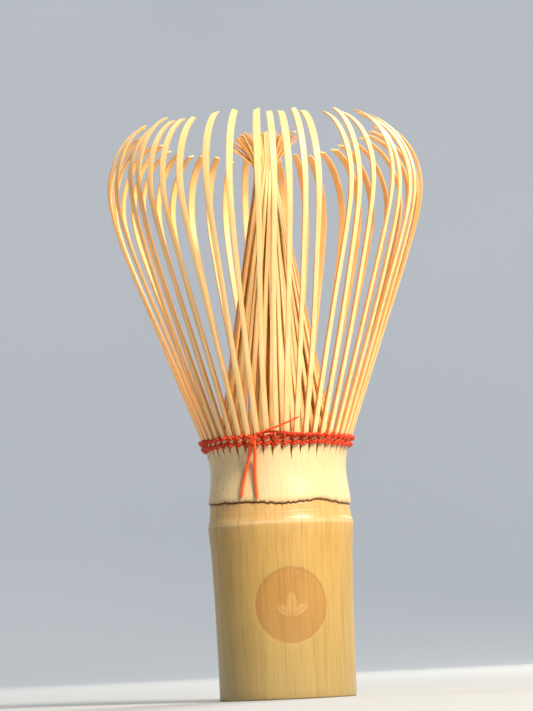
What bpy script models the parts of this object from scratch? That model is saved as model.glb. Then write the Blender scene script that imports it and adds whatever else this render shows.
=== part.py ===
"""Bamboo tea whisk: a length of culm whose shaved end is split into springy tines, bound with thread.

Metres, +Z up. The origin is the middle of the handle's flat foot, and azimuth 0 is the front, -Y.
"""

import math
import random

import bmesh
import bpy
from mathutils import Vector
from mathutils.geometry import interpolate_bezier

MM = 0.001

# Handle: the culm from its cut foot to the node, and the shaved collar above the node. The collar's
# rim sets the radius, and the rest of the outline swells out from it or falls in.
COLLAR_RADIUS = 12.85 * MM
NODE_HEIGHT = 35.5 * MM
COLLAR_HEIGHT = 9.2 * MM
FOOT_FALL = 0.25 * MM
RIDGE_SWELL = 0.65 * MM
RIDGE_BELOW_NODE = 3.8 * MM
SHOULDER_SWELL = 0.1 * MM
SHOULDER_BELOW_NODE = 0.8 * MM
CREVICE_FALL = 0.2 * MM
LIP_SWELL = 0.5 * MM
LIP_ABOVE_NODE = 0.5 * MM
WAIST_FALL = 0.25 * MM
WAIST_SHARE = 0.7
COLLAR_WALL = 2.2 * MM
CULM_WALL = 4.3 * MM
DIAPHRAGM = 3.0 * MM
EDGE_ROUND = 0.4 * MM
SWELL_POWER = 2.5
SWELL_STEPS = 7

# Outer tines: thin strips that lean out of the collar, bow to the flare and hook in at their tips.
# The tips lie on a ring a little out of round, with its left side further out and its back lower.
OUTER_TINES = 48
ROOT_GAP = 0.3 * MM
TINE_LEAN = math.radians(20.3)
FLARE_RADIUS = 29.5 * MM
FLARE_RISE = 49.0 * MM
TIP_RADIUS = 22.2 * MM
TIP_RISE = 60.9 * MM
SIDE_TIP_REACH = 0.5 * MM
SIDE_TIP_LIFT = 0.7 * MM
LEFT_TIP_REACH = 0.75 * MM
FRONT_TIP_LIFT = 0.65 * MM
TINE_ROOT_WIDTH = 0.86 * MM
TINE_MIDDLE_WIDTH = 0.75 * MM
TINE_TIP_WIDTH = 1.05 * MM
TINE_ROOT_THICKNESS = 0.8 * MM
TINE_TIP_THICKNESS = 0.35 * MM
TIP_RADIUS_SPREAD = 0.6 * MM
TIP_RISE_SPREAD = 0.5 * MM
MOST_DRIFT = math.radians(1.0)
# Degrees that the front tines have sprung sideways by their tips, by tine number, + to the right.
FRONT_DRIFTS = {
    37: -1.5, 38: -3.0, 39: -4.2, 40: -2.6, 41: 1.6, 42: -0.2, 43: -0.8, 44: -2.4, 45: -1.9,
    46: 1.6, 47: 2.6, 48: 5.0, 1: 2.9, 2: 1.0, 3: -1.2, 4: -3.8, 5: 1.5,
    6: -1.9, 7: -2.8, 8: -1.2, 9: -2.4, 10: -3.4, 11: -4.4, 12: -2.6,
}
STEM_SECTIONS = 10
HOOK_SECTIONS = 7

# Binding: two rows of thread woven in front of one tine and behind the next.
BINDING_ABOVE_COLLAR = 2.3 * MM
ROW_SPACING = 1.3 * MM
THREAD_RADIUS = 0.18 * MM
THREAD_GAP = 0.3 * MM
THREAD_SIDE_GAP = 0.2 * MM

# Knot and loose ends of the thread.
KNOT_AZIMUTH = math.radians(-16.5)
KNOT_WIDTH = 2.2 * MM
KNOT_HEIGHT = 2.4 * MM
KNOT_DEPTH = 1.2 * MM
TAIL_RADIUS = 0.32 * MM
TAIL_GAP = 0.4 * MM
LOOSE_END_RADIUS = 0.2 * MM

# Inner tines: every other split of the culm, gathered to a twisted neck and fanned out above it.
INNER_GROUPS = 4
INNER_ROOT_GAP = 1.7 * MM
INNER_THICKNESS = 0.55 * MM
INNER_SIDE_GAP = 0.4 * MM
INNER_LEAN = math.radians(-11.5)
NECK_RADIUS = 2.1 * MM
NECK_RISE = 51.1 * MM
FAN_RADIUS = 7.4 * MM
FAN_RISE = 58.3 * MM
NECK_TWIST = math.radians(80.0)
CONE_SECTIONS = 10
FAN_SECTIONS = 5
GROUP_COLUMNS = 6

# Faces round a turned piece, and the sides of a thread.
TURNED_STEPS = 48
THREAD_BEVEL = 2

FOOT_RADIUS = COLLAR_RADIUS - FOOT_FALL
WAIST_RADIUS = COLLAR_RADIUS - WAIST_FALL
LIP_RADIUS = COLLAR_RADIUS + LIP_SWELL
COLLAR_TOP = NODE_HEIGHT + COLLAR_HEIGHT
BINDING_HEIGHT = COLLAR_TOP + BINDING_ABOVE_COLLAR
TINE_ROOT_HEIGHT = COLLAR_TOP + ROOT_GAP
TINE_PITCH = 2 * math.pi / OUTER_TINES


def clear_scene():
    for existing in list(bpy.data.objects):
        bpy.data.objects.remove(existing, do_unlink=True)


def linear(channel):
    if channel <= 0.04045:
        return channel / 12.92
    return ((channel + 0.055) / 1.055) ** 2.4


def make_material(name, colour, roughness):
    """A Principled material from an sRGB colour."""
    made = bpy.data.materials.new(name)
    made.use_nodes = True
    shader = made.node_tree.nodes["Principled BSDF"]
    shader.inputs["Base Color"].default_value = (*(linear(c) for c in colour), 1)
    shader.inputs["Roughness"].default_value = roughness
    shader.inputs["Metallic"].default_value = 0
    return made


def add_object(name, data, collection, colour, roughness):
    made = bpy.data.objects.new(name, data)
    data.materials.append(make_material(name, colour, roughness))
    collection.objects.link(made)
    return made


def outward(azimuth):
    return Vector((math.sin(azimuth), -math.cos(azimuth), 0))


def round_point(radius, azimuth, height):
    return outward(azimuth) * radius + Vector((0, 0, height))


def blend(low, high, share):
    return low + (high - low) * share


def ease(share):
    share = min(max(share, 0.0), 1.0)
    return share * share * (3 - 2 * share)


def curve_through(start, start_pull, end_pull, end, count):
    """count (radius, height) points of a cubic curve between two ends."""
    flat = [Vector((*point, 0)) for point in (start, start_pull, end_pull, end)]
    return [(point.x, point.y) for point in interpolate_bezier(*flat, count)]


def make_handle(collection):
    """One piece of culm: open underneath, closed by the node's diaphragm, a shallow cup above it."""
    cup_radius = COLLAR_RADIUS - COLLAR_WALL
    cup_floor = NODE_HEIGHT + LIP_ABOVE_NODE
    hollow_top = cup_floor - DIAPHRAGM
    hollow_radius = FOOT_RADIUS - CULM_WALL
    ridge_radius = COLLAR_RADIUS + RIDGE_SWELL
    ridge_height = NODE_HEIGHT - RIDGE_BELOW_NODE
    profile = [
        (0, cup_floor),
        (cup_radius - EDGE_ROUND, cup_floor),
        (cup_radius, cup_floor + EDGE_ROUND),
        (cup_radius, COLLAR_TOP - EDGE_ROUND),
        (cup_radius + EDGE_ROUND, COLLAR_TOP),
        (COLLAR_RADIUS - EDGE_ROUND, COLLAR_TOP),
        (COLLAR_RADIUS, COLLAR_TOP - EDGE_ROUND),
        (WAIST_RADIUS, NODE_HEIGHT + WAIST_SHARE * COLLAR_HEIGHT),
        (blend(WAIST_RADIUS, LIP_RADIUS, 0.4), NODE_HEIGHT + 0.3 * COLLAR_HEIGHT),
        (LIP_RADIUS, NODE_HEIGHT + LIP_ABOVE_NODE),
        (COLLAR_RADIUS - CREVICE_FALL, NODE_HEIGHT),
        (COLLAR_RADIUS + SHOULDER_SWELL, NODE_HEIGHT - SHOULDER_BELOW_NODE),
    ]
    for step in range(SWELL_STEPS, 0, -1):
        share = step / SWELL_STEPS
        radius = blend(FOOT_RADIUS, ridge_radius, share**SWELL_POWER)
        profile.append((radius, blend(EDGE_ROUND, ridge_height, share)))
    profile += [
        (FOOT_RADIUS, EDGE_ROUND),
        (FOOT_RADIUS - EDGE_ROUND, 0),
        (hollow_radius + EDGE_ROUND, 0),
        (hollow_radius, EDGE_ROUND),
        (hollow_radius, hollow_top - EDGE_ROUND),
        (hollow_radius - EDGE_ROUND, hollow_top),
        (0, hollow_top),
    ]
    mesh = bpy.data.meshes.new("handle")
    points = [(radius, 0, height) for radius, height in profile]
    mesh.from_pydata(points, [(i, i + 1) for i in range(len(points) - 1)], [])
    handle = add_object("handle", mesh, collection, (0.745, 0.608, 0.353), 0.5)
    turn = handle.modifiers.new("turn", "SCREW")
    turn.steps = TURNED_STEPS
    turn.render_steps = TURNED_STEPS
    turn.use_merge_vertices = True
    turn.merge_threshold = 0.00001
    return handle


def tine_outline(tip_radius, tip_rise):
    """(radius, height) up a tine's outer face, from its root to its hooked tip."""
    root = (COLLAR_RADIUS, TINE_ROOT_HEIGHT)
    flare_height = TINE_ROOT_HEIGHT + FLARE_RISE
    tip_height = TINE_ROOT_HEIGHT + tip_rise
    stem = 0.7 * FLARE_RISE
    stem_pull = (root[0] + stem * math.tan(TINE_LEAN), root[1] + stem)
    hook = tip_height - flare_height
    rise = curve_through(
        root,
        stem_pull,
        (FLARE_RADIUS, flare_height - 0.13 * FLARE_RISE),
        (FLARE_RADIUS, flare_height),
        STEM_SECTIONS,
    )
    curl = curve_through(
        (FLARE_RADIUS, flare_height),
        (FLARE_RADIUS, flare_height + 0.42 * hook),
        (blend(tip_radius, FLARE_RADIUS, 0.62), flare_height + 0.85 * hook),
        (tip_radius, tip_height),
        HOOK_SECTIONS,
    )
    return rise + curl[1:]


def binding_radius():
    """The outer face of a tine at the middle of the binding."""
    outline = tine_outline(TIP_RADIUS, TIP_RISE)
    for (low_radius, low), (high_radius, high) in zip(outline, outline[1:]):
        if high >= BINDING_HEIGHT:
            return blend(low_radius, high_radius, (BINDING_HEIGHT - low) / (high - low))
    return COLLAR_RADIUS


def tine_width(share):
    if share < 0.5:
        return blend(TINE_ROOT_WIDTH, TINE_MIDDLE_WIDTH, 2 * share)
    return blend(TINE_MIDDLE_WIDTH, TINE_TIP_WIDTH, 2 * share - 1)


def make_strip(name, columns, rows, place, thickness, collection, colour):
    """A grid laid out by place(column share, row share), given a wall towards the whisk's axis.

    thickness holds the wall at the root and at the tip.
    """
    grid = bmesh.new()
    bmesh.ops.create_grid(grid, x_segments=columns, y_segments=rows, size=0.5)
    mesh = bpy.data.meshes.new(name)
    shares = []
    for vertex in grid.verts:
        across, along = vertex.co.x + 0.5, vertex.co.y + 0.5
        shares.append(along)
        vertex.co = place(across, along)
    grid.to_mesh(mesh)
    grid.free()
    strip = add_object(name, mesh, collection, colour, 0.45)
    wall_group = strip.vertex_groups.new(name="wall")
    root, tip = thickness
    for index, along in enumerate(shares):
        wall_group.add([index], blend(1.0, tip / root, along), "REPLACE")
    wall = strip.modifiers.new("wall", "SOLIDIFY")
    wall.thickness = root
    wall.offset = -1
    wall.vertex_group = wall_group.name
    return strip


def make_outer_tine(number, collection, random_source):
    """One split of the culm's skin, with its origin on its root's hinge in the binding."""
    azimuth = (number - 1) * TINE_PITCH
    any_drift = random_source.uniform(-MOST_DRIFT, MOST_DRIFT)
    drift = math.radians(FRONT_DRIFTS[number]) if number in FRONT_DRIFTS else any_drift
    front_or_back = math.cos(2 * azimuth)
    tip_radius = TIP_RADIUS + SIDE_TIP_REACH * front_or_back - LEFT_TIP_REACH * math.sin(azimuth)
    tip_radius += random_source.uniform(-TIP_RADIUS_SPREAD, TIP_RADIUS_SPREAD)
    tip_rise = TIP_RISE - SIDE_TIP_LIFT * front_or_back + FRONT_TIP_LIFT * math.cos(azimuth)
    tip_rise += random_source.uniform(-TIP_RISE_SPREAD, TIP_RISE_SPREAD)
    outline = tine_outline(tip_radius, tip_rise)
    sections = len(outline) - 1
    hinge_radius = binding_radius() - TINE_ROOT_THICKNESS / 2

    def place(across, along):
        radius, height = outline[round(along * sections)]
        turned = drift * ease(along)
        side = (across - 0.5) * tine_width(along)
        level = round_point(radius, turned, height)
        sideways = Vector((math.cos(turned), math.sin(turned), 0)) * side
        return level + sideways - round_point(hinge_radius, 0, BINDING_HEIGHT)

    tine = make_strip(
        f"outer_tine_{number:02d}",
        1,
        sections,
        place,
        (TINE_ROOT_THICKNESS, TINE_TIP_THICKNESS),
        collection,
        (0.965, 0.87, 0.64),
    )
    tine.location = round_point(hinge_radius, azimuth, BINDING_HEIGHT)
    tine.rotation_euler.z = azimuth
    return tine


def row_radii(height):
    """Where a row's thread runs in front of a tine, and where it runs behind one."""
    outer_face = binding_radius() + (height - BINDING_HEIGHT) * math.tan(TINE_LEAN)
    stand_off = THREAD_GAP + THREAD_RADIUS
    return outer_face + stand_off, outer_face - TINE_ROOT_THICKNESS - stand_off


def inner_outline():
    """(radius, height, twist) up the gathered inner tines, from their roots to the fan's rim."""
    behind_lower_row = row_radii(BINDING_HEIGHT - ROW_SPACING / 2)[1]
    root_radius = behind_lower_row - THREAD_RADIUS - THREAD_GAP
    root = (root_radius, COLLAR_TOP + INNER_ROOT_GAP)
    neck = (NECK_RADIUS, root[1] + NECK_RISE)
    rim = (FAN_RADIUS, root[1] + FAN_RISE)
    stem = 0.4 * NECK_RISE
    cone = curve_through(
        root,
        (root[0] + stem * math.tan(INNER_LEAN), root[1] + stem),
        (NECK_RADIUS - 0.2 * NECK_RISE * math.tan(INNER_LEAN), neck[1] - 0.25 * NECK_RISE),
        neck,
        CONE_SECTIONS,
    )
    fan = curve_through(
        neck,
        (NECK_RADIUS, neck[1] + 0.3 * (rim[1] - neck[1])),
        (blend(NECK_RADIUS, FAN_RADIUS, 0.4), blend(neck[1], rim[1], 0.8)),
        rim,
        FAN_SECTIONS,
    )
    outline = cone + fan[1:]
    twists = [NECK_TWIST * ease((height - root[1]) / FAN_RISE) for _, height in outline]
    return [(*point, twist) for point, twist in zip(outline, twists)]


def make_inner_group(number, collection):
    """A quarter of the inner tines as one body, in the frame of the sway's axis."""
    outline = inner_outline()
    sections = len(outline) - 1
    middle = (number - 1) * 2 * math.pi / INNER_GROUPS

    def place(across, along):
        radius, height, twist = outline[round(along * sections)]
        half = math.pi / INNER_GROUPS - INNER_SIDE_GAP / (2 * radius)
        turned = middle + twist + blend(-half, half, across)
        return round_point(radius, turned, height - BINDING_HEIGHT)

    group = make_strip(
        f"inner_tines_{number}",
        GROUP_COLUMNS,
        sections,
        place,
        (INNER_THICKNESS, INNER_THICKNESS),
        collection,
        (0.93, 0.82, 0.57),
    )
    group.location = (0, 0, BINDING_HEIGHT)
    return group


def make_thread(name, points, radius, closed, collection):
    """A round thread along the points, on a straight-segment curve."""
    curve = bpy.data.curves.new(name, "CURVE")
    curve.dimensions = "3D"
    curve.bevel_depth = radius
    curve.bevel_resolution = THREAD_BEVEL
    curve.use_fill_caps = not closed
    spline = curve.splines.new("POLY")
    spline.points.add(len(points) - 1)
    for place, point in zip(spline.points, points):
        place.co = (*point, 1)
    spline.use_cyclic_u = closed
    return add_object(name, curve, collection, (0.84, 0.15, 0.12), 0.7)


def woven_row(height, phase):
    """A row's route: outside one tine, inside the next, crossing in the gaps between them."""
    outside, inside = row_radii(height)
    points = []
    for tine in range(OUTER_TINES):
        radius = outside if tine % 2 == phase else inside
        half = math.asin((TINE_ROOT_WIDTH / 2 + THREAD_SIDE_GAP) / radius)
        for side in (-half, half):
            points.append(round_point(radius, tine * TINE_PITCH + side, height))
    return points


def collar_radius_at(height):
    """The collar's outer face, taken as straight between its lip, waist and rim."""
    above_node = (height - NODE_HEIGHT) / COLLAR_HEIGHT
    if above_node > WAIST_SHARE:
        return blend(WAIST_RADIUS, COLLAR_RADIUS, (above_node - WAIST_SHARE) / (1 - WAIST_SHARE))
    return blend(LIP_RADIUS, WAIST_RADIUS, above_node / WAIST_SHARE)


def knot_centre_radius():
    """Clear of the upper row, which leans out with the tines."""
    upper_row_radius = row_radii(BINDING_HEIGHT + ROW_SPACING / 2)[0]
    return upper_row_radius + THREAD_RADIUS + THREAD_GAP + KNOT_DEPTH / 2


def make_knot(collection):
    """The hard little knot that ends the binding, resting outside both rows."""
    ball = bmesh.new()
    bmesh.ops.create_uvsphere(ball, u_segments=12, v_segments=8, radius=0.5)
    bmesh.ops.scale(ball, verts=ball.verts, vec=(KNOT_WIDTH, KNOT_DEPTH, KNOT_HEIGHT))
    mesh = bpy.data.meshes.new("thread_knot")
    ball.to_mesh(mesh)
    ball.free()
    mesh.shade_smooth()
    knot = add_object("thread_knot", mesh, collection, (0.78, 0.12, 0.1), 0.7)
    knot.location = round_point(knot_centre_radius(), KNOT_AZIMUTH, BINDING_HEIGHT)
    knot.rotation_euler.z = KNOT_AZIMUTH
    return knot


def tail_route(drop_azimuths):
    """A loose end's route: out of the knot's foot, in to the collar and down its face."""
    top = BINDING_HEIGHT - KNOT_HEIGHT / 2 - THREAD_GAP - TAIL_RADIUS
    bottom = NODE_HEIGHT + LIP_ABOVE_NODE + TAIL_RADIUS
    count = len(drop_azimuths) - 1
    points = []
    for step, azimuth in enumerate(drop_azimuths):
        height = blend(top, bottom, step / count)
        lie = max(collar_radius_at(min(height, COLLAR_TOP)), WAIST_RADIUS) + TAIL_GAP + TAIL_RADIUS
        start = knot_centre_radius()
        points.append(round_point(blend(start, lie, ease(2.5 * step / count)), azimuth, height))
    return points


def smooth_route(points, per_span):
    """A rounder route through the same points."""
    made = []
    for index in range(len(points) - 1):
        before = points[max(index - 1, 0)]
        start, end = points[index], points[index + 1]
        after = points[min(index + 2, len(points) - 1)]
        first_pull = start + (end - before) / 6
        second_pull = end - (after - start) / 6
        span = interpolate_bezier(start, first_pull, second_pull, end, per_span + 1)
        made += span[:-1]
    return made + [points[-1]]


def make_loose_end(collection):
    """The short end above the binding, which stands out to the front."""
    start = binding_radius() + 1.7 * MM
    route = [
        round_point(start, math.radians(-9.5), BINDING_HEIGHT + 2.1 * MM),
        round_point(start + 0.5 * MM, math.radians(-2.0), BINDING_HEIGHT + 2.4 * MM),
        round_point(start + 1.4 * MM, math.radians(6.5), BINDING_HEIGHT + 3.1 * MM),
        round_point(start + 2.6 * MM, math.radians(14.5), BINDING_HEIGHT + 4.0 * MM),
    ]
    return make_thread(
        "thread_loose_end", smooth_route(route, 3), LOOSE_END_RADIUS, False, collection
    )


def main():
    clear_scene()
    whisk = bpy.data.collections.new("bamboo_tea_whisk")
    bpy.context.scene.collection.children.link(whisk)
    make_handle(whisk)
    random_source = random.Random(4)
    for number in range(1, OUTER_TINES + 1):
        make_outer_tine(number, whisk, random_source)
    for number in range(1, INNER_GROUPS + 1):
        make_inner_group(number, whisk)
    half_spacing = ROW_SPACING / 2
    for name, offset, phase in (("lower", -half_spacing, 0), ("upper", half_spacing, 1)):
        route = woven_row(BINDING_HEIGHT + offset, phase)
        make_thread(f"thread_{name}_row", route, THREAD_RADIUS, True, whisk)
    make_knot(whisk)
    left = [math.radians(a) for a in (-20.0, -25.0, -28.5, -31.0, -32.0)]
    right = [math.radians(a) for a in (-15.5, -16.5, -19.0, -19.5, -19.0)]
    for name, azimuths in (("left", left), ("right", right)):
        route = smooth_route(tail_route(azimuths), 3)
        make_thread(f"thread_tail_{name}", route, TAIL_RADIUS, False, whisk)
    make_loose_end(whisk)


main()
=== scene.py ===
"""A bamboo tea whisk, from the sawn foot of its handle to the hooked tips of its tines."""

import math
import random

import bpy
import numpy as np
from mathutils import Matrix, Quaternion, Vector, noise


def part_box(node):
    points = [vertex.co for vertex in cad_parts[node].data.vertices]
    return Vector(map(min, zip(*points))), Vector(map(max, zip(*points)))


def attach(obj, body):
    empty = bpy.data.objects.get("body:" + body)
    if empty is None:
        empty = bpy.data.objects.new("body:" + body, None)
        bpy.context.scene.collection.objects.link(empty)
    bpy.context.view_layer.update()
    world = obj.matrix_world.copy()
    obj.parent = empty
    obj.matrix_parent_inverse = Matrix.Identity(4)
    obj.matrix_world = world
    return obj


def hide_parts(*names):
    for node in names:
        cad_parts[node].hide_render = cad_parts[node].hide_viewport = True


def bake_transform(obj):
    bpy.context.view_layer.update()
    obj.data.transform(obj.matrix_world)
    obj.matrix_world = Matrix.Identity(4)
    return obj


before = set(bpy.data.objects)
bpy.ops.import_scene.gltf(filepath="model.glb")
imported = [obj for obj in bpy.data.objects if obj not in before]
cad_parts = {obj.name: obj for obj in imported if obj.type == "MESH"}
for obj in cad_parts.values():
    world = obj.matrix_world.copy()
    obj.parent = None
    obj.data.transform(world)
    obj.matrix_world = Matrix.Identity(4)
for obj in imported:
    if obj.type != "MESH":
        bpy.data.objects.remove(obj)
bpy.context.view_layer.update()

# The view: an eye just above the floor, well over half a metre in front, looking a little up
# through a long lens held slightly askew, so that the whisk leans to the left.
MM = 0.001
EYE = Vector((-1.2, -570, 7)) * MM
AIM = Vector((-1.2, 0, 63.6)) * MM
LEAN = math.radians(2.6)
bpy.ops.object.camera_add(location=EYE)
camera = bpy.context.object
camera.name = "view"
camera.data.lens = 155.8
level = (AIM - EYE).to_track_quat("-Z", "Y")
camera.rotation_euler = (level @ Quaternion((0, 0, 1), -LEAN)).to_euler()
bpy.context.scene.camera = camera
bpy.context.scene.view_settings.view_transform = "Standard"

# The culm: one length of bamboo, sawn flat at its foot and smoke-aged to a satin straw gold. Its
# node stands out as a ridge and a ragged scar. Above that the skin is shaved to a pale collar,
# whose rim is split into a tooth at the root of each outer tine.
TINES = 48
PITCH = 2 * math.pi / TINES
COLUMNS_PER_TINE = 10
COLLAR_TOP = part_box("handle")[1].z
NODE_SCAR = COLLAR_TOP - 9.2 * MM
CUP_RADIUS = 10.65 * MM
HOLLOW_RADIUS = 8.3 * MM
SPLIT_FOOT = 43.2 * MM
TOOTH_TOP = 46.3 * MM
TOOTH_WALL = 0.85 * MM
WALL_RIM = COLLAR_TOP - 0.3 * MM
CULM_OUTLINE = [  # height and radius up the outside, in millimetres
    (0.35, 12.6), (7.5, 12.66), (18.5, 12.85), (26.9, 13.12),  # the tube
    (30.3, 13.38), (31.6, 13.5), (32.4, 13.43), (33.1, 13.2), (34.3, 13.03), (35.1, 12.99),  # the ridge
    (35.38, 12.94), (35.46, 12.76), (35.58, 12.76), (35.68, 13.05), (35.95, 13.22),  # the scar's groove
    (36.6, 13.2), (38.3, 12.95), (40.3, 12.68), (42.0, 12.6), (43.4, 12.67), (44.7, 12.85),  # the collar
    (45.5, 13.1), (46.3, 13.39),  # the teeth
]


def deselect():
    bpy.ops.object.select_all(action="DESELECT")


def smooth_step(low, high, value):
    share = np.clip((value - low) / (high - low), 0, 1)
    return share * share * (3 - 2 * share)


def through(keys, at):
    """A smooth curve through (place, value) keys, read at the given places."""
    place, value = np.array(keys, float).T
    slope = np.gradient(value, place)
    span = np.clip(np.searchsorted(place, at) - 1, 0, len(place) - 2)
    width = place[span + 1] - place[span]
    share = np.clip((at - place[span]) / width, 0, 1)
    low, high = value[span], value[span + 1]
    rest = 1 - share
    bulge = share * rest * width * (slope[span] * rest - slope[span + 1] * share)
    flat = (high - low) * share * rest * (share - rest)
    return low + (high - low) * share + bulge + flat


def culm_radius(height):
    return np.interp(np.asarray(height) / MM, *np.array(CULM_OUTLINE).T) * MM


def turned(name, outline, steps):
    """Draws a (radius, height) outline as a chain of edges and spins it round the whisk's axis."""
    deselect()
    bpy.ops.mesh.primitive_plane_add(size=MM)
    piece = bpy.context.object
    piece.name = name
    bpy.ops.object.mode_set(mode="EDIT")
    bpy.ops.mesh.select_mode(type="VERT")
    bpy.ops.mesh.merge(type="CENTER")
    bpy.ops.transform.translate(value=(0, -outline[0][0], outline[0][1]))
    for (near, low), (far, high) in zip(outline, outline[1:]):
        step = (0, near - far, high - low)
        bpy.ops.mesh.extrude_region_move(TRANSFORM_OT_translate={"value": step})
    bpy.ops.mesh.select_all(action="SELECT")
    bpy.ops.mesh.spin(steps=steps, angle=2 * math.pi, center=(0, 0, 0), axis=(0, 0, 1))
    bpy.ops.mesh.select_all(action="SELECT")
    bpy.ops.mesh.remove_doubles(threshold=0.002 * MM)
    bpy.ops.mesh.normals_make_consistent(inside=False)
    bpy.ops.object.mode_set(mode="OBJECT")
    return piece


def read_points(piece):
    points = np.empty(len(piece.data.vertices) * 3)
    piece.data.vertices.foreach_get("co", points)
    return points.reshape(-1, 3)


def write_points(piece, points):
    piece.data.vertices.foreach_set("co", np.asarray(points, float).ravel())
    piece.data.update()


def note(piece, name, values, kind="FLOAT"):
    """Keeps a value or a vector for each point of the mesh, for its material to read."""
    held = piece.data.attributes.new(name, kind, "POINT")
    field = "vector" if kind == "FLOAT_VECTOR" else "value"
    held.data.foreach_set(field, np.asarray(values, float).ravel())


def ragged(angle, lift, scale):
    """Smooth noise between -1 and 1 round the culm, with lumps 1 / scale of its radius long."""
    return np.array([noise.noise(Vector((math.sin(a), math.cos(a), lift)) * scale) for a in angle])


def outer_rows(top, bottom, count):
    """Rows down the culm's outside between two heights in millimetres."""
    heights = np.linspace(top * MM, bottom * MM, count)
    return [(float(culm_radius(height)), height) for height in heights]


# The outline runs from the middle of the cup out over the rim, down the outside, and in under the
# foot to the end of the hollow. Its rows are closest at the teeth, the scar, the ripples and the mark.
culm_outline = [
    (0, 36 * MM), (5 * MM, 36 * MM), (9.4 * MM, 36.1 * MM), (10.4 * MM, 36.6 * MM), (CUP_RADIUS, 38 * MM),
    (CUP_RADIUS, WALL_RIM - 0.5 * MM), (CUP_RADIUS + 0.15 * MM, WALL_RIM - 0.1 * MM),
    (CUP_RADIUS + 0.4 * MM, WALL_RIM),
]
culm_outline += [(float(culm_radius(z)) - TOOTH_WALL, z) for z in np.linspace(WALL_RIM, TOOTH_TOP, 7)]
for top, bottom, count in (
    (46.3, 43.2, 11), (42.8, 37.2, 12), (36.9, 36.1, 4), (35.95, 34.9, 15), (34.7, 34.25, 3),
    (34.05, 30.9, 22), (30.2, 25.2, 7), (24.9, 9.9, 51), (8.6, 0.35, 6),
):
    culm_outline += outer_rows(top, bottom, count)
culm_outline += [
    (12.52 * MM, 0.12 * MM), (12.36 * MM, 0.02 * MM), (12.2 * MM, 0), (11 * MM, 0), (9.6 * MM, 0),
    (HOLLOW_RADIUS + 0.3 * MM, 0), (HOLLOW_RADIUS + 0.05 * MM, 0.08 * MM), (HOLLOW_RADIUS, 0.4 * MM),
    (HOLLOW_RADIUS, 8 * MM), (HOLLOW_RADIUS, 20 * MM), (HOLLOW_RADIUS, 30 * MM),
    (HOLLOW_RADIUS - 0.3 * MM, 32.2 * MM), (HOLLOW_RADIUS - 1.4 * MM, 32.9 * MM),
    (4 * MM, 33 * MM), (0, 33 * MM),
]
culm = turned("culm_handle", culm_outline, TINES * COLUMNS_PER_TINE)

# The collar's splits: each runs down into the shaved wood as a narrow V, where the culm was cut
# with a knife and prised open. A few have torn deeper than the rest.
SPLIT_HALF_WIDTH = 0.27 * MM
SPLIT_RADIUS = 13 * MM
SPLIT_FEET = (45.0, 44.8, 44.6, 44.9, 44.4, 44.1, 44.7)  # heights in millimetres, drawn at random
DEEP_SPLITS = ((1, 43.5), (47, 44.0), (4, 44.0), (43, 43.9), (8, 44.3))  # split, height of its foot
chance = random.Random(11)
split_feet = np.array([chance.choice(SPLIT_FEET) * MM for _ in range(TINES)])
for split, foot in DEEP_SPLITS:
    split_feet[split] = foot * MM
points = read_points(culm)
azimuth = np.arctan2(points[:, 0], -points[:, 1])
radius = np.hypot(points[:, 0], points[:, 1])
height = points[:, 2].copy()
place = azimuth / PITCH - 0.5
beside_split = np.abs(place - np.round(place)) * PITCH * SPLIT_RADIUS
foot = split_feet[np.round(place).astype(int) % TINES]
tooth_top = foot + (TOOTH_TOP - foot) * np.clip(beside_split / SPLIT_HALF_WIDTH, 0, 1)
on_outside = radius > culm_radius(height) - 0.3 * MM
on_tooth = (height > SPLIT_FOOT + 0.01 * MM) & on_outside
beyond_cup = (radius > CUP_RADIUS + 0.95 * MM) & (radius < culm_radius(height) - 0.3 * MM)
on_inner_face = (height > WALL_RIM - 0.01 * MM) & beyond_cup
for chosen, base, wall in ((on_inner_face, WALL_RIM, TOOTH_WALL), (on_tooth, SPLIT_FOOT, 0)):
    rise = base + (height - base) * (tooth_top - base) / (TOOTH_TOP - base)
    height = np.where(chosen, rise, height)
    radius = np.where(chosen, culm_radius(rise) - wall, radius)
# Painted shade: the edges of the splits are painted darker orange where the thread's shadow and the hollow
# behind fall on them.
painted_split_shade = (1 - smooth_step(0.05 * MM, 0.9 * MM, tooth_top - height)) * (on_tooth | on_inner_face)
painted_split_shade *= 1 - smooth_step(0.6, 1.5, beside_split / SPLIT_HALF_WIDTH)

# The scar wanders up and down round the culm, the tube is a little out of round, and fine
# ripples run round it under the scar.
SCAR_REACH = 1.6 * MM
RIPPLE_SPACING = 0.6 * MM
RIPPLE_HEIGHT = 0.018 * MM
degrees = np.degrees(azimuth)
outside = radius > 12.1 * MM
wander = 0.1 - 0.5 * np.sin(azimuth)
wander = wander + 0.55 * np.exp(-(((degrees - 36) / 14) ** 2)) - 0.3 * np.exp(-((degrees / 14) ** 2))
wander += 0.1 * ragged(azimuth, 0, 9) + 0.22 * ragged(azimuth, 5, 21) + 0.16 * ragged(azimuth, 8, 55)
near_scar = np.exp(-(((height - NODE_SCAR) / SCAR_REACH) ** 2))
ripple = RIPPLE_HEIGHT * np.sin(height * 2 * math.pi / RIPPLE_SPACING + 3 * ragged(azimuth, 2, 2))
ripple *= 0.6 + 0.8 * ragged(azimuth, 6, 4)
ripple *= smooth_step(31.9 * MM, 32.6 * MM, height) * (1 - smooth_step(34.2 * MM, 35.0 * MM, height))
fibre = 0.012 * MM * ragged(azimuth, 0, 26)
unround = 0.05 * MM * np.sin(2 * azimuth + 0.9) * smooth_step(0, 30 * MM, height) * (height < 44 * MM)
points[:, 2] = height + wander * MM * near_scar * outside

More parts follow.
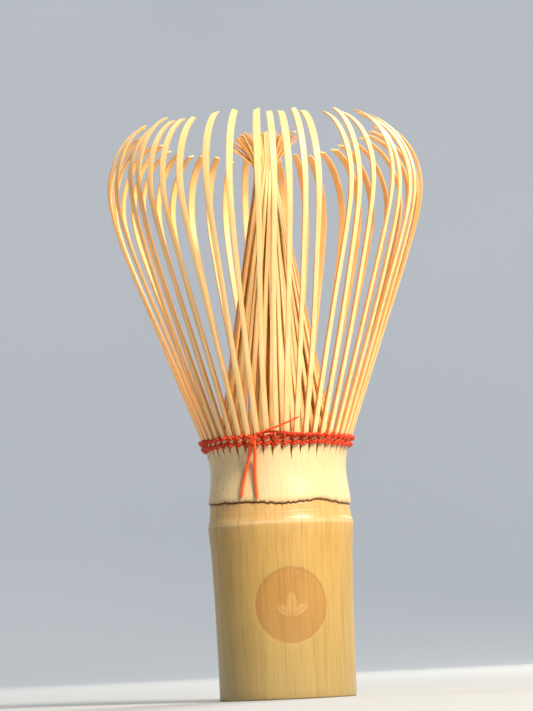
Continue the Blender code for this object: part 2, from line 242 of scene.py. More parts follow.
# The mark: a shallow round patch pressed in with a clean scorched rim, holding a sprig of three leaves.
MARK_AZIMUTH = math.radians(5.7)
MARK_HEIGHT = 16.9 * MM
MARK_RADIUS = 6.75 * MM
MARK_DEPTH = 0.09 * MM
RIM_DEPTH = 0.07 * MM
LEAF_HEIGHT = 0.07 * MM
SPRIG_FOOT = MARK_HEIGHT - 2.0 * MM
LEAVES = ((0, 4.6), (0.95, 3.7), (-0.95, 3.7))  # turn in radians, length in millimetres
across = (azimuth - MARK_AZIMUTH) * radius
upward = height - MARK_HEIGHT
from_middle = np.hypot(across, upward)
mark = (1 - smooth_step(MARK_RADIUS - 0.15 * MM, MARK_RADIUS + 0.05 * MM, from_middle)) * outside
rim = np.exp(-(((from_middle - MARK_RADIUS) / (0.15 * MM)) ** 2)) * outside
leaves = np.zeros(len(points))
above_foot = height - SPRIG_FOOT
for turn, length in LEAVES:
    along = (across * math.sin(turn) + above_foot * math.cos(turn)) / MM
    beside = (across * math.cos(turn) - above_foot * math.sin(turn)) / MM
    half_width = 0.2 * length * np.sin(np.pi * np.clip(along / length, 0, 1)) ** 0.8
    leaf = 1 - smooth_step(-0.14, 0.14, np.abs(beside) - half_width)
    vein = np.exp(-((beside / 0.13) ** 2))
    leaves = np.maximum(leaves, (leaf - 0.8 * vein) * (along > 0) * (along < length))
leaves = np.clip(leaves, 0, 1) * mark
radius = radius + (ripple + fibre + unround) * outside
radius -= MARK_DEPTH * mark + RIM_DEPTH * rim - LEAF_HEIGHT * leaves
points[:, 0] = radius * np.sin(azimuth)
points[:, 1] = -radius * np.cos(azimuth)
write_points(culm, points)
note(culm, "culm_height", height / MM)
note(culm, "mark", mark)
note(culm, "mark_rim", rim)
note(culm, "leaves", leaves)
note(culm, "painted_split_shade", painted_split_shade)


def linear(code):
    """Scene colour of an sRGB hex code."""
    channels = [int(code[place:place + 2], 16) / 255 for place in (1, 3, 5)]
    return (*(c / 12.92 if c <= 0.04045 else ((c + 0.055) / 1.055) ** 2.4 for c in channels), 1)


def add(tree, kind, inputs, out=0, stops=(), **settings):
    """Adds a shader node with its settings and gives back one of its outputs.

    Each of inputs is linked where it is another node's output, and set where it is a value. stops
    are the (place, colour) pairs of a ramp.
    """
    made = tree.nodes.new("ShaderNode" + kind)
    for name, value in settings.items():
        setattr(made, name, value)
    for socket, value in inputs.items():
        if isinstance(value, bpy.types.NodeSocket):
            tree.links.new(value, made.inputs[socket])
        else:
            made.inputs[socket].default_value = value
    for _ in stops[2:]:
        made.color_ramp.elements.new(0.5)
    for number, (place, colour) in enumerate(stops):
        made.color_ramp.elements[number].position = place
        made.color_ramp.elements[number].color = linear(colour)
    return made.outputs[out]


def new_material(name, roughness):
    """An empty Principled material: its tree and its shader."""
    made = bpy.data.materials.new(name)
    made.use_nodes = True
    shader = made.node_tree.nodes["Principled BSDF"]
    shader.inputs["Roughness"].default_value = roughness
    return made, made.node_tree, shader


def grain(tree, coordinates, per_unit, detail):
    """Noise with so many lumps per unit of length along each axis, which gives a grain."""
    stretched = add(tree, "Mapping", {0: coordinates, 3: per_unit})
    return add(tree, "TexNoise", {"Vector": stretched, "Scale": 1, "Detail": detail, "Roughness": 0.6})


def layered(tree, colour, layers):
    """Lays colours over a colour, one after the other.

    A layer holds the attribute or value that says where it lies, its strength, its colour, and MIX
    to cover what is under it or MULTIPLY to stain it.
    """
    for where, strength, over, how in layers:
        if isinstance(where, str):
            where = add(tree, "Attribute", {}, "Fac", attribute_name=where)
        if strength != 1:
            where = add(tree, "Math", {0: where, 1: strength}, operation="MULTIPLY")
        inputs = {0: where, 6: colour, 7: linear(over)}
        colour = add(tree, "Mix", inputs, 2, data_type="RGBA", blend_type=how)
    return colour


# Aged culm skin: waxy and satin, straw gold with fine upright fibres 0.3 to 0.6 mm apart and broad
# soft streaks. It pales over the ridge, is black-brown in the scar, partly its own dark line and partly
# painted shade in the groove, is cream where shaved, and has painted shade down the edges of the splits.
ZONES_TOP = 48
SKIN_ZONES = [  # height in millimetres, colour
    (0.0, "#B8A06A"), (9.0, "#BDA263"), (19.0, "#C3A25D"), (29.0, "#C8A35C"),
    (31.6, "#CEA966"), (32.15, "#E2C796"), (32.5, "#D5AE70"), (35.2, "#D8B070"),
    # The scar: its own dark line, deepened to near-black by painted shade in its groove.
    (35.4, "#A8743C"), (35.46, "#3A200F"), (35.57, "#2C170A"), (35.63, "#9C7040"), (35.74, "#DFC08C"),
    (36.6, "#E5CB9C"), (39.0, "#E7CFA2"), (46.5, "#E8CE9E"),
]
SPECK = (-10.1 * MM, -7.75 * MM, 38.7 * MM)
skin, tree, shader = new_material("aged_culm_skin", 0.4)
here = add(tree, "TexCoord", {}, "Object")
fibres = grain(tree, here, (2.6 / MM, 2.6 / MM, 0.04 / MM), 4)
streaks = grain(tree, here, (0.62 / MM, 0.62 / MM, 0.014 / MM), 3)
clouds = grain(tree, here, (0.06 / MM, 0.06 / MM, 0.04 / MM), 2)
up = add(tree, "Attribute", {}, "Fac", attribute_name="culm_height")
share = add(tree, "MapRange", {0: up, 1: 0, 2: ZONES_TOP})
zones = add(tree, "ValToRGB", {0: share}, stops=[(z / ZONES_TOP, colour) for z, colour in SKIN_ZONES])
in_streak = add(tree, "ValToRGB", {0: streaks}, stops=[(0.4, "#000000"), (0.7, "#595959")])
streaked = layered(tree, zones, [(in_streak, 1, "#B98A40", "MULTIPLY")])
shaved = add(tree, "MapRange", {0: up, 1: 35.9, 2: 36.6})
faint = add(tree, "Mix", {0: 0.3, 6: zones, 7: streaked}, 2, data_type="RGBA")
toned = add(tree, "Mix", {0: shaved, 6: streaked, 7: faint}, 2, data_type="RGBA")
between = add(tree, "ValToRGB", {0: fibres}, stops=[(0.3, "#CFCFCF"), (0.5, "#F4F4F4"), (0.7, "#FFFFFF")])
strength = add(tree, "MapRange", {0: shaved, 1: 0, 2: 1, 3: 0.7, 4: 0.35})
fibred = add(tree, "Mix", {0: strength, 6: toned, 7: between}, 2, data_type="RGBA", blend_type="MULTIPLY")
in_cloud = add(tree, "MapRange", {0: clouds, 1: 0.35, 2: 0.7, 3: 0, 4: 0.25})
off_speck = add(tree, "VectorMath", {0: here, 1: SPECK}, "Value", operation="DISTANCE")
in_speck = add(tree, "MapRange", {0: off_speck, 1: 0.13 * MM, 2: 0.22 * MM, 3: 0.85, 4: 0})
colour = layered(tree, fibred, [
    (in_cloud, 1, "#BFB064", "MULTIPLY"), ("mark", 0.42, "#DFA468", "MULTIPLY"),
    ("mark_rim", 0.42, "#8A5A26", "MIX"), ("leaves", 0.3, "#D9B676", "MIX"),
    # Painted shade in darker orange down the edges of the splits, then a real speck.
    ("painted_split_shade", 0.85, "#B5702A", "MIX"), (in_speck, 1, "#1E120A", "MIX"),
])
tree.links.new(colour, shader.inputs["Base Color"])
rough = add(tree, "MapRange", {0: streaks, 1: 0.3, 2: 0.7, 3: 0.34, 4: 0.46})
tree.links.new(rough, shader.inputs["Roughness"])
fine = add(tree, "Bump", {"Height": fibres, "Distance": 0.03 * MM, "Strength": 0.5})
broad = add(tree, "Bump", {"Height": streaks, "Distance": 0.06 * MM, "Strength": 0.4, "Normal": fine})
tree.links.new(broad, shader.inputs["Normal"])
shader.inputs["Coat Weight"].default_value = 0.1
shader.inputs["Coat Roughness"].default_value = 0.28
shader.inputs["IOR"].default_value = 1.48

# Sawn culm end: pale woody ground with the cut ends of the fibre bundles as brown dots, 0.7 mm
# apart, darker towards the skin.
sawn, tree, shader = new_material("sawn_culm_end", 0.75)
here = add(tree, "TexCoord", {}, "Object")
flat = add(tree, "Mapping", {0: here, 3: (1, 1, 0)})
bundles = add(tree, "TexVoronoi", {"Vector": flat, "Scale": 1.4 / MM}, feature="F1")
from_axis = add(tree, "VectorMath", {0: flat}, "Value", operation="LENGTH")
near_skin = add(tree, "MapRange", {0: from_axis, 1: 9.5 * MM, 2: 12.5 * MM})
dots = add(tree, "ValToRGB", {0: bundles}, stops=[(0.12, "#FFFFFF"), (0.34, "#000000")])
inputs = {0: dots, 6: linear("#D9B77A"), 7: linear("#8A5A2A")}
dotted = add(tree, "Mix", inputs, 2, data_type="RGBA")
darker = layered(tree, dotted, [(near_skin, 0.5, "#A9743A", "MIX")])
tree.links.new(darker, shader.inputs["Base Color"])
pits = add(tree, "Bump", {"Height": bundles, "Distance": 0.1 * MM, "Strength": 0.5})
tree.links.new(pits, shader.inputs["Normal"])

# Culm lining: the pithy, papery inside of the tube and of the cup above the node, with upright
# flecks about 1 mm apart.
lining, tree, shader = new_material("culm_lining", 0.85)
here = add(tree, "TexCoord", {}, "Object")
flecks = grain(tree, here, (0.9 / MM, 0.9 / MM, 0.16 / MM), 3)
pith = add(tree, "ValToRGB", {0: flecks}, stops=[(0.3, "#B8925A"), (0.6, "#D9BC86"), (0.8, "#E6D0A2")])
tree.links.new(pith, shader.inputs["Base Color"])
papery = add(tree, "Bump", {"Height": flecks, "Distance": 0.2 * MM, "Strength": 0.7})
tree.links.new(papery, shader.inputs["Normal"])

for material in (skin, sawn, lining):
    culm.data.materials.append(material)
for face in culm.data.polygons:
    middle = face.center
    out = math.hypot(middle.x, middle.y)
    if middle.z < 0.3 * MM and HOLLOW_RADIUS + 0.02 * MM < out < 12.4 * MM:
        face.material_index = 1
    elif out < 11.5 * MM:
        face.material_index = 2
deselect()
culm.select_set(True)
bpy.context.view_layer.objects.active = culm
bpy.ops.object.shade_smooth_by_angle(angle=math.radians(50))
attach(culm, "handle")
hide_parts("handle")

# Outer tines: 48 splits of the culm's outer wall, shaved thin towards their hooked tips and each cut
# off on a slant. Each grows out of its own tooth of the collar, under the thread, and leans out from there.
TINE_LEAN = math.radians(20.3)
TINE_FOOT = 45.1 * MM
STEM_PULL = 34.3 * MM
FLARE_PULL = 6.3 * MM
FLARE_HEIGHT = COLLAR_TOP + 49.3 * MM
BEND_RADIUS = 13.2 * MM
# Share of the strip's length, and its width or thickness there in millimetres.
TINE_WIDTH = [(0, 0.98), (0.12, 0.96), (0.4, 0.86), (0.65, 0.98), (0.82, 1.2), (0.93, 1.24), (1, 1.1)]
TINE_WALL = [(0, 0.72), (0.1, 0.72), (0.3, 0.55), (0.6, 0.42), (1, 0.3)]


def strip_blank(name, cuts, easing):
    """A straight strip, 1 wide, 1 thick and 1 long, with eased long edges and even cuts."""
    deselect()
    bpy.ops.mesh.primitive_cube_add(size=1, location=(0, 0, 0.5))
    blank = bpy.context.object
    blank.name = name
    bpy.ops.object.transform_apply(location=True)
    for action in ("ease", "cut"):
        bpy.ops.object.mode_set(mode="EDIT")
        bpy.ops.mesh.select_mode(type="EDGE")
        bpy.ops.mesh.select_all(action="DESELECT")
        bpy.ops.object.mode_set(mode="OBJECT")
        for edge in blank.data.edges:
            low, high = (blank.data.vertices[i].co.z for i in edge.vertices)
            edge.select = abs(high - low) > 0.5
        bpy.ops.object.mode_set(mode="EDIT")
        if action == "ease":
            bpy.ops.mesh.bevel(offset=easing, segments=2, affect="EDGES")
        else:
            bpy.ops.mesh.subdivide(number_cuts=cuts)
        bpy.ops.object.mode_set(mode="OBJECT")
    return blank


def pull_curve(start, start_pull, end_pull, end, count):
    """(radius, height) rows of a cubic curve between two ends."""
    share = np.linspace(0, 1, count)[:, None]
    rest = 1 - share
    ends = np.array(start) * rest**3 + np.array(end) * share**3
    return ends + 3 * share * rest * (np.array(start_pull) * rest + np.array(end_pull) * share)


def evenly(route, count):
    """The same line with evenly spaced rows."""
    length = np.concatenate([[0], np.cumsum(np.linalg.norm(np.diff(route, axis=0), axis=1))])
    at = np.linspace(0, length[-1], count)
    return np.column_stack([np.interp(at, length, route[:, i]) for i in range(route.shape[1])])


def laid(blank, name, route, turns, width, wall, spin, slant):
    """A copy of the straight blank laid along a route.

    route holds (radius, height) and turns the azimuth at even steps, width and wall the strip's
    size there, and spin its turn about its own line. slant is how far its end is cut askew.
    """
    strip = blank.copy()
    strip.data = blank.data.copy()
    strip.name = name
    bpy.context.scene.collection.objects.link(strip)
    shape = read_points(strip)
    way = np.sign(slant)
    cut_away = slant * (0.5 + way * shape[:, 0]) * way * smooth_step(0.9, 1, shape[:, 2])
    share = shape[:, 2] - cut_away
    steps = np.linspace(0, 1, len(route))
    line = np.column_stack([route[:, 0] * np.sin(turns), -route[:, 0] * np.cos(turns), route[:, 1]])
    ahead = np.gradient(line, axis=0)
    ahead /= np.linalg.norm(ahead, axis=1)[:, None]
    side = np.column_stack([np.cos(turns), np.sin(turns), 0 * turns])
    side -= (side * ahead).sum(1)[:, None] * ahead
    side /= np.linalg.norm(side, axis=1)[:, None]
    out = np.cross(side, ahead)
    turned_side = side * np.cos(spin)[:, None] + out * np.sin(spin)[:, None]
    turned_out = out * np.cos(spin)[:, None] - side * np.sin(spin)[:, None]

    def at(rows):
        return np.column_stack([np.interp(share, steps, rows[:, i]) for i in range(3)])

    wide = shape[:, 0] * np.interp(share, steps, width)
    deep = (shape[:, 1] - 0.5) * np.interp(share, steps, wall)
    placed = at(line) + wide[:, None] * at(turned_side) + deep[:, None] * at(turned_out)
    length = np.concatenate([[0], np.cumsum(np.linalg.norm(np.diff(line, axis=0), axis=1))])
    write_points(strip, placed)
    run = np.interp(share, steps, length)
    note(strip, "fibre", np.column_stack([wide, deep, run]) / MM, "FLOAT_VECTOR")
    note(strip, "edge", np.abs(shape[:, 0]) * 2)
    note(strip, "inward", 0.5 - shape[:, 1])
    return strip


def tip_of(node):
    """Radius, azimuth and height of a CAD tine's tip."""
    corners = np.array([v.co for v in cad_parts[node].data.vertices])
    high = corners[corners[:, 2] > corners[:, 2].max() - 0.02 * MM].mean(0)
    return math.hypot(high[0], high[1]), math.atan2(high[0], -high[1]), high[2]


def split_bamboo(name, face_stops, edge_colour, edge_share):
    """Split bamboo: pale cream off the knife, a little see-through where it is thin, with
    golden-brown edges, partly the cut sides' own colour and partly a painted glow of light through
    the thin edges, an inner face painted orange as painted shade, and fine fibres, 5 to the
    millimetre, that run with the strip."""
    made, tree, shader = new_material(name, 0.46)
    strip = add(tree, "Attribute", {}, "Vector", attribute_name="fibre")
    fibres = grain(tree, strip, (5.5, 4.0, 0.12), 3)
    patches = grain(tree, strip, (0.5, 0.5, 0.08), 2)
    face = add(tree, "ValToRGB", {0: fibres}, stops=face_stops)
    in_patch = add(tree, "MapRange", {0: patches, 1: 0.4, 2: 0.75, 3: 0, 4: 0.5})
    # The edges: golden-brown, partly the cut sides' own colour and partly a painted glow of light shining
    # through the thin edges.
    edge = add(tree, "Attribute", {}, "Fac", attribute_name="edge")
    on_edge = add(tree, "ValToRGB", {0: edge}, stops=[(edge_share, "#000000"), (0.98, "#D8D8D8")])
    # Painted shade: the inner face, turned to the axis where the strips shade one another, is painted
    # orange.
    inward = add(tree, "Attribute", {}, "Fac", attribute_name="inward")
    painted_inner_shade = add(tree, "MapRange", {0: inward, 1: 0.6, 2: 0.95, 3: 0, 4: 0.35})
    colour = layered(tree, face, [
        (in_patch, 1, "#EEC078", "MIX"), (on_edge, 1, edge_colour, "MIX"), (painted_inner_shade, 1, "#E8B060", "MIX"),
    ])
    tree.links.new(colour, shader.inputs["Base Color"])
    relief = add(tree, "Bump", {"Height": fibres, "Distance": 0.03 * MM, "Strength": 0.5})
    tree.links.new(relief, shader.inputs["Normal"])
    shader.inputs["Subsurface Weight"].default_value = 0.45
    shader.inputs["Subsurface Radius"].default_value = (1.0, 0.5, 0.15)
    shader.inputs["Subsurface Scale"].default_value = 1.2 * MM
    shader.inputs["IOR"].default_value = 1.48
    return made


outer_bamboo = split_bamboo(
    "split_bamboo", [(0.3, "#F1D493"), (0.5, "#FAE5B0"), (0.75, "#FCEDC4")], "#D88A2C", 0.66
)
tine_blank = strip_blank("tine_blank", 55, 0.13)
flare_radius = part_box("outer_tine_13")[1].x
for number in range(1, TINES + 1):
    node = f"outer_tine_{number:02d}"
    base = (number - 1) * PITCH
    tip_radius, tip_azimuth, tip_height = tip_of(node)
    drift = (tip_azimuth - base + math.pi) % (2 * math.pi) - math.pi
    flare_out = flare_radius + chance.uniform(-0.35, 0.3) * MM
    flare = np.array((flare_out, FLARE_HEIGHT + chance.uniform(-1, 1) * MM))
    root = np.array((float(culm_radius(TINE_FOOT)) - 0.05 * MM, TINE_FOOT))
    tip = (tip_radius, tip_height)
    hook = tip_height - flare[1]
    stem_pull = root + np.array((STEM_PULL * math.tan(TINE_LEAN), STEM_PULL))
    stem = pull_curve(root, stem_pull, flare - np.array((0, FLARE_PULL)), flare, 60)
    tip_pull = (tip_radius + 0.62 * (flare[0] - tip_radius), flare[1] + 0.85 * hook)
    hooked = pull_curve(flare, flare + np.array((0, 0.42 * hook)), tip_pull, tip, 30)
    route = evenly(np.vstack([stem, hooked[1:]]), 140)
    share = np.linspace(0, 1, len(route))
    phase = chance.uniform(0, 2 * math.pi)
    sway = chance.uniform(0.4, 1.0) * 0.005 * np.sin(5.5 * share + phase) * smooth_step(0.12, 0.6, share)
    turns = base + drift * smooth_step(0, 0.85, share) + sway
    route[:, 0] += 0.25 * MM * np.sin(6 * share + 2 * phase) * smooth_step(0.1, 0.5, share) * (1 - share)
    breadth = chance.uniform(0.95, 1.06)
    width = through(TINE_WIDTH, share) * breadth * MM
    wall = through(TINE_WALL, share) * MM
    spin = chance.uniform(-0.2, 0.2) * smooth_step(0.15, 0.9, share)
    slant = chance.choice([-1, 1]) * chance.uniform(0.004, 0.014)
    tine = laid(tine_blank, f"outer_split_{number:02d}", route, turns, width, wall, spin, slant)
    tine.data.materials.append(outer_bamboo)
    deselect()
    tine.select_set(True)
    bpy.context.view_layer.objects.active = tine
    bpy.ops.object.shade_smooth_by_angle(angle=math.radians(40))
    foot = Vector((math.sin(base), -math.cos(base), 0)) * BEND_RADIUS
    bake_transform(tine)
    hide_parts(node)
bpy.data.objects.remove(tine_blank)

# Inner tines: the other half of the splits, bent in behind the thread, drawn together in loose
# layers to a twisted neck, and sprung open above it in tufts. Lengths here are in millimetres.
STRAND_FOOT = 44.0
NECK_HEIGHT = 97.6
STRAND_WIDTH = [(0, 1.0), (0.3, 0.86), (0.75, 0.62), (0.88, 0.58), (1, 0.85)]
STRAND_WALL = [(0, 0.45), (0.4, 0.38), (1, 0.26)]
STRAND_ROWS = 110
# Number of strands, radius at the root and at the neck, and share of a tuft's reach.
LAYERS = [(32, 11.5, 2.0, 1), (26, 11.2, 1.45, 0.85), (14, 10.9, 0.8, 0.55)]
TUFTS = [  # azimuth in degrees, reach of the ends and their height in millimetres
    (-95, 7.3, 103.6), (-62, 6.2, 105.1), (-25, 4.0, 105.4), (10, 2.8, 105.2), (42, 4.6, 105.6),
    (78, 7.0, 105.0), (112, 6.8, 103.9), (150, 5.6, 104.6), (190, 5.6, 104.8), (232, 6.8, 104.1),
]


def polar(out, degrees, height):
    """The place at a radius, an azimuth and a height, with lengths in millimetres."""
    turn = math.radians(degrees)
    return (out * MM * math.sin(turn), -out * MM * math.cos(turn), height * MM)


def eased_route(points, count):
    """A smooth line through the points, with evenly spaced rows."""
    points = np.array(points)
    keys = np.arange(len(points))
    dense = np.linspace(0, len(points) - 1, 12 * len(points))
    line = np.column_stack([through(list(zip(keys, points[:, i])), dense) for i in range(3)])
    return evenly(line, count)


inner_bamboo = split_bamboo(
    "inner_split_bamboo", [(0.3, "#F2C77C"), (0.5, "#FBDFA2"), (0.75, "#FDEDC4")], "#D07A22", 0.5
)
inner_blank = strip_blank("inner_blank", 39, 0.16)
groups = {number: [] for number in range(1, 5)}
for layer, (strands, root_radius, neck_radius, fullness) in enumerate(LAYERS):
    for index in range(strands):
        base = (index + 0.5 + 0.33 * layer) * 2 * math.pi / strands
        tuft = min(TUFTS, key=lambda tuft: abs((math.degrees(base) + 52 - tuft[0] + 180) % 360 - 180))
        reach = tuft[1] * chance.uniform(0.72, 1.02) * fullness
        top = tuft[2] + chance.uniform(-0.9, 0.4)
        near_neck = neck_radius + chance.uniform(-0.06, 0.06)
        root = np.array(polar(root_radius + chance.uniform(-0.15, 0.1), math.degrees(base), STRAND_FOOT))
        neck = np.array(polar(near_neck, math.degrees(base) + chance.uniform(20, 60), NECK_HEIGHT))
        keys = [tuple(root + (neck - root) * share) for share in (0, 0.25, 0.5, 0.75, 1)]
        above = math.degrees(math.atan2(neck[0], -neck[1])) + 12
        for share, rise in ((0.1, 0.3), (0.5, 0.68), (1, 1)):
            out = near_neck + (reach - near_neck) * share
            turn = above + ((tuft[0] - above + 180) % 360 - 180) * 0.35 * share
            keys.append(polar(out, turn, NECK_HEIGHT + (top - NECK_HEIGHT) * rise))
        line = eased_route(keys, STRAND_ROWS)
        share = np.linspace(0, 1, STRAND_ROWS)
        bow = chance.uniform(-0.1, 0.35) * MM * np.sin(np.pi * share) ** 2
        route = np.column_stack([np.hypot(line[:, 0], line[:, 1]) + bow, line[:, 2]])
        turns = np.unwrap(np.arctan2(line[:, 0], -line[:, 1]))
        width = through(STRAND_WIDTH, share) * MM
        wall = through(STRAND_WALL, share) * MM
        spin = chance.uniform(-0.3, 0.3) * smooth_step(0.1, 0.8, share)
        slant = chance.uniform(-0.008, 0.008)
        strand = laid(inner_blank, "strand", route, turns, width, wall, spin, slant)
        groups[int((base / (2 * math.pi) * 4 + 0.5) % 4) + 1].append(strand)
for number, strands in groups.items():
    deselect()
    for strand in strands:
        strand.select_set(True)
    bpy.context.view_layer.objects.active = strands[0]
    bpy.ops.object.join()
    bunch = bpy.context.object
    bunch.name = f"inner_splits_{number}"
    bunch.data.materials.append(inner_bamboo)
    bpy.ops.object.shade_smooth_by_angle(angle=math.radians(40))
    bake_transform(bunch)
    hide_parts(f"inner_tines_{number}")
bpy.data.objects.remove(inner_blank)

# The binding: soft red cotton thread, two plies twisted together. Two strands are twined round
# the outer tines in each row, so a slanting stitch shows in front of every tine.
PLY_RADIUS = 0.195 * MM
THREAD_LAY = 1.2 * MM
STITCH_STEPS = 18
ROW_LEVELS = (("lower", 46.35 * MM), ("upper", 47.5 * MM))

# Dyed cotton: dull and soft, with fibres 0.11 mm apart painted as bright orange glints on dark red,
# a painted highlight, a dye that takes unevenly about every millimetre, and a painted orange glow
# on the hanging cut ends for light shining through the thin thread.
thread_red, tree, shader = new_material("dyed_cotton_thread", 0.5)
here = add(tree, "TexCoord", {}, "Object")
fuzz = grain(tree, here, (9 / MM, 9 / MM, 9 / MM), 2)
uneven_dye = grain(tree, here, (0.9 / MM, 0.9 / MM, 0.9 / MM), 2)
dyed = add(tree, "ValToRGB", {0: uneven_dye}, stops=[(0.3, "#AE1206"), (0.5, "#E02608"), (0.75, "#FA5A1C")])
# Painted highlight: the fibres are painted as bright orange glints on dark red.
fibres = add(tree, "ValToRGB", {0: fuzz}, stops=[(0.3, "#8E1206"), (0.7, "#FF7434")])
fuzzed = add(tree, "Mix", {0: 0.35, 6: dyed, 7: fibres}, 2, data_type="RGBA")
# Painted glow: the hanging cut ends are painted pale orange, as if lit through.
colour = layered(tree, fuzzed, [("painted_glow", 0.8, "#FF6420", "MIX")])
tree.links.new(colour, shader.inputs["Base Color"])
relief = add(tree, "Bump", {"Height": fuzz, "Distance": 0.08 * MM, "Strength": 0.8})
tree.links.new(relief, shader.inputs["Normal"])
shader.inputs["Specular IOR Level"].default_value = 0.35
shader.inputs["Sheen Weight"].default_value = 0.05
shader.inputs["Sheen Roughness"].default_value = 0.4
shader.inputs["Sheen Tint"].default_value = linear("#FF8A50")


def plied(name, route, ply_radius, lay_length, closed=False, taper=False):
    """Two plies wound round a route, as one mesh. lay_length is the length of one whole turn, and
    taper thins the cut end of a hanging length and marks it for the painted orange glow."""
    route = np.asarray(route, float)
    if closed:
        ahead = np.roll(route, -1, 0) - np.roll(route, 1, 0)
    else:
        ahead = np.gradient(route, axis=0)
    ahead /= np.linalg.norm(ahead, axis=1)[:, None]
    ring = np.vstack([route, route[:1]]) if closed else route
    length = np.concatenate([[0], np.cumsum(np.linalg.norm(np.diff(ring, axis=0), axis=1))])
    winds = length / lay_length
    if closed:
        winds = winds * round(winds[-1]) / winds[-1]
    out = np.column_stack([route[:, 0], route[:, 1], 0 * route[:, 0]])
    out -= (out * ahead).sum(1)[:, None] * ahead
    out /= np.linalg.norm(out, axis=1)[:, None]
    side = np.cross(ahead, out)
    curve = bpy.data.curves.new(name, "CURVE")
    curve.dimensions = "3D"
    curve.bevel_depth = ply_radius
    curve.bevel_resolution = 2
    curve.use_fill_caps = not closed
    for ply in (0, math.pi):
        angle = 2 * math.pi * winds[:len(route)] + ply
        around = out * np.cos(angle)[:, None] + side * np.sin(angle)[:, None]
        wound = route + around * ply_radius * 0.9
        spline = curve.splines.new("POLY")
        spline.points.add(len(wound) - 1)
        spline.points.foreach_set("co", np.column_stack([wound, np.ones(len(wound))]).ravel())
        if taper:
            thin = 1 - 0.55 * smooth_step(0.93, 1, np.linspace(0, 1, len(wound)))
            spline.points.foreach_set("radius", thin)
        spline.use_cyclic_u = closed
    piece = bpy.data.objects.new(name, curve)
    bpy.context.scene.collection.objects.link(piece)
    deselect()
    piece.select_set(True)
    bpy.context.view_layer.objects.active = piece
    bpy.ops.object.convert(target="MESH")
    bpy.ops.object.mode_set(mode="EDIT")
    bpy.ops.mesh.select_all(action="SELECT")
    bpy.ops.mesh.remove_doubles(threshold=0.002 * MM)
    bpy.ops.mesh.normals_make_consistent(inside=False)
    bpy.ops.object.mode_set(mode="OBJECT")
    bpy.ops.object.shade_smooth()
    # Tapered ends are marked for the painted glow, a painted stand-in for light shining through the thread.
    note(bpy.context.object, "painted_glow", np.full(len(bpy.context.object.data.vertices), float(taper)))
    return bpy.context.object


def twined(height, phase):
    """One strand's way round: in front of every other tine on a slant, behind those between."""
    place = np.arange(TINES * STITCH_STEPS) / STITCH_STEPS - 0.5
    wave = np.cos(math.pi * (place + phase))
    bulge = np.sign(wave) * np.abs(wave) ** 0.6
    uneven = 0.09 * np.sin(place * 2.3 + phase * 9) + 0.06 * np.sin(place * 5.1 + phase * 4)
    level = height + (0.3 * np.sin(math.pi * (place + phase)) + uneven) * MM
    middle = culm_radius(TOOTH_TOP) + math.tan(TINE_LEAN) * (level - TOOTH_TOP) - 0.38 * MM
    out = middle + bulge * (0.72 + 0.05 * np.sin(place * 3.7)) * MM
    turn = place * PITCH
    return np.column_stack([out * np.sin(turn), -out * np.cos(turn), level])


def finished_thread(pieces, name, node):
    deselect()
    for piece in pieces:
        piece.select_set(True)
    bpy.context.view_layer.objects.active = pieces[0]
    if len(pieces) > 1:
        bpy.ops.object.join()
    done = bpy.context.object
    done.name = name
    done.data.name = name
    done.data.materials.clear()
    done.data.materials.append(thread_red)
    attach(done, "handle")
    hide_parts(node)


for label, level in ROW_LEVELS:
    strands = []
    for phase in (0, 1):
        strands.append(plied(f"{label}_{phase}", twined(level, phase), PLY_RADIUS, THREAD_LAY, closed=True))
    finished_thread(strands, f"binding_row_{label}", f"thread_{label}_row")

# The knot: an overhand knot in the same red cotton thread, drawn down hard against the two rows
# where the ends of both meet.
KNOT_PLY = 0.16 * MM
knot_low, knot_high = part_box("thread_knot")
knot_middle = (knot_low + knot_high) / 2
knot_turn = math.atan2(knot_middle.x, -knot_middle.y)
round_it = np.linspace(0, 2 * math.pi, 72, endpoint=False)
loop_x = (np.sin(round_it) + 1.6 * np.sin(2 * round_it)) * 0.24 * MM
loop_z = (np.cos(round_it) - 1.6 * np.cos(2 * round_it)) * 0.3 * MM
loop_y = -np.sin(3 * round_it) * 0.22 * MM
knot_route = np.column_stack([
    knot_middle.x + loop_x * math.cos(knot_turn) - loop_y * math.sin(knot_turn),
    knot_middle.y + loop_x * math.sin(knot_turn) + loop_y * math.cos(knot_turn) + 0.45 * MM,
    knot_middle.z + loop_z,
])
knot = plied("knot", knot_route, KNOT_PLY, THREAD_LAY, closed=True)
finished_thread([knot], "binding_knot", "thread_knot")

# The cut ends: two hang down the collar from the knot, and a thin third stands out above it. The
# strand carried over from the start of the upper row lies along the top of the band.
TAIL_PLY = 0.175 * MM
CARRIED_PLY = 0.15 * MM
LOOSE_PLY = 0.11 * MM
LOOSE_LAY = 1.0 * MM
left_tail = eased_route([
    polar(15.0, -17.5, 47.2), polar(14.7, -19.0, 46.0), polar(13.9, -21.6, 44.6), polar(13.3, -24.4, 42.9),
    polar(13.15, -27.4, 40.9), polar(13.25, -29.8, 38.9), polar(13.5, -30.8, 36.8),
], 100)
right_tail = eased_route([
    polar(15.1, -16.0, 47.0), polar(14.7, -16.4, 45.8), polar(13.8, -17.4, 44.3), polar(13.2, -18.6, 42.5),
    polar(13.15, -18.8, 40.4), polar(13.3, -18.3, 38.2), polar(13.6, -17.5, 36.3),
], 100)
for label, route in (("left", left_tail), ("right", right_tail)):
    tail = plied(f"tail_{label}", route, TAIL_PLY, THREAD_LAY, taper=True)
    finished_thread([tail], f"binding_tail_{label}", f"thread_tail_{label}")
loose_route = eased_route([
    polar(14.9, -13.5, 48.0), polar(15.1, -8.0, 48.5), polar(15.5, -2.0, 48.9), polar(16.3, 5.5, 49.6),
    polar(17.2, 14.0, 50.6),
], 80)
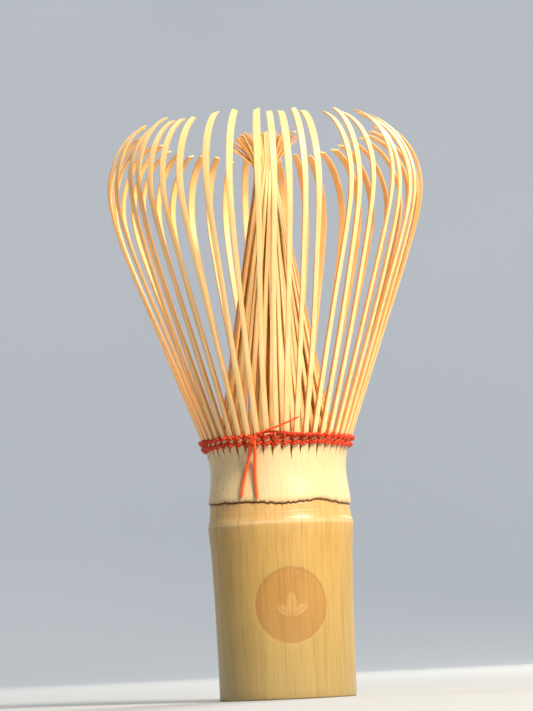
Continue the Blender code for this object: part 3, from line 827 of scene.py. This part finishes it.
carried_route = eased_route([
    polar(14.8, -15.0, 48.0), polar(14.8, -6.0, 48.3), polar(14.75, 3.0, 48.1), polar(14.7, 12.0, 47.8),
    polar(14.7, 21.0, 47.6), polar(14.6, 29.0, 47.6), polar(14.3, 34.0, 47.5),
], 100)
loose = plied("loose", loose_route, LOOSE_PLY, LOOSE_LAY, taper=True)
carried = plied("carried", carried_route, CARRIED_PLY, THREAD_LAY)
finished_thread([loose, carried], "binding_loose_end", "thread_loose_end")

# The studio: a plain pale floor that curves up all round into a plain pale wall, a soft key lamp
# from the upper right, one behind that glows through the tines, and two that light the wall.
FLOOR_RADIUS = 1.0
COVE_RADIUS = 0.6
WALL_RADIUS = 1.6
cove = [(0, 0), (0.3, 0), (0.7, 0), (FLOOR_RADIUS, 0)]
for turn in np.linspace(0.1, math.pi / 2, 14):
    cove.append((FLOOR_RADIUS + COVE_RADIUS * math.sin(turn), COVE_RADIUS - COVE_RADIUS * math.cos(turn)))
cove += [(WALL_RADIUS, 1.0), (WALL_RADIUS, 1.5)]
studio = turned("studio_cove", cove, 96)
studio_paint, tree, shader = new_material("matt_studio_paint", 0.9)
here = add(tree, "TexCoord", {}, "Object")
rolled_on = grain(tree, here, (3, 3, 3), 2)
paint = add(tree, "ValToRGB", {0: rolled_on}, stops=[(0.3, "#A3A9AF"), (0.7, "#A7ADB3")])
tree.links.new(paint, shader.inputs["Base Color"])
studio.data.materials.append(studio_paint)
deselect()
studio.select_set(True)
bpy.context.view_layer.objects.active = studio
bpy.ops.object.mode_set(mode="EDIT")
bpy.ops.mesh.select_all(action="SELECT")
bpy.ops.mesh.flip_normals()
bpy.ops.object.mode_set(mode="OBJECT")
bpy.ops.object.shade_smooth()
world = bpy.data.worlds.new("studio_surround")
bpy.context.scene.world = world
world.use_nodes = True
world.node_tree.nodes["Background"].inputs[0].default_value = linear("#E8EAEE")
world.node_tree.nodes["Background"].inputs[1].default_value = 0.13
STUDIO_LAMPS = [  # name, place, aim, size in metres, power in watts, colour
    ("key", (0.5, -0.7, 0.7), (0, 0, 0.06), 0.24, 22, "#FFF0DC"),
    ("back", (0.45, 0.75, 0.5), (0, 0, 0.08), 0.4, 8, "#FFEFD4"),
    ("wall_right", (0.75, 0.55, 1.05), (0.1, 1.5, 0.25), 0.5, 9, "#F4F8FF"),
    ("wall_left", (-0.75, 0.55, 1.05), (-0.1, 1.5, 0.25), 0.5, 8, "#F4F8FF"),
]
for name, place, aim, size, power, colour in STUDIO_LAMPS:
    bpy.ops.object.light_add(type="AREA", location=place)
    lamp = bpy.context.object
    lamp.name = name
    lamp.data.size = size
    lamp.data.energy = power
    lamp.data.color = linear(colour)[:3]
    lamp.rotation_euler = (Vector(aim) - Vector(place)).to_track_quat("-Z", "Y").to_euler()
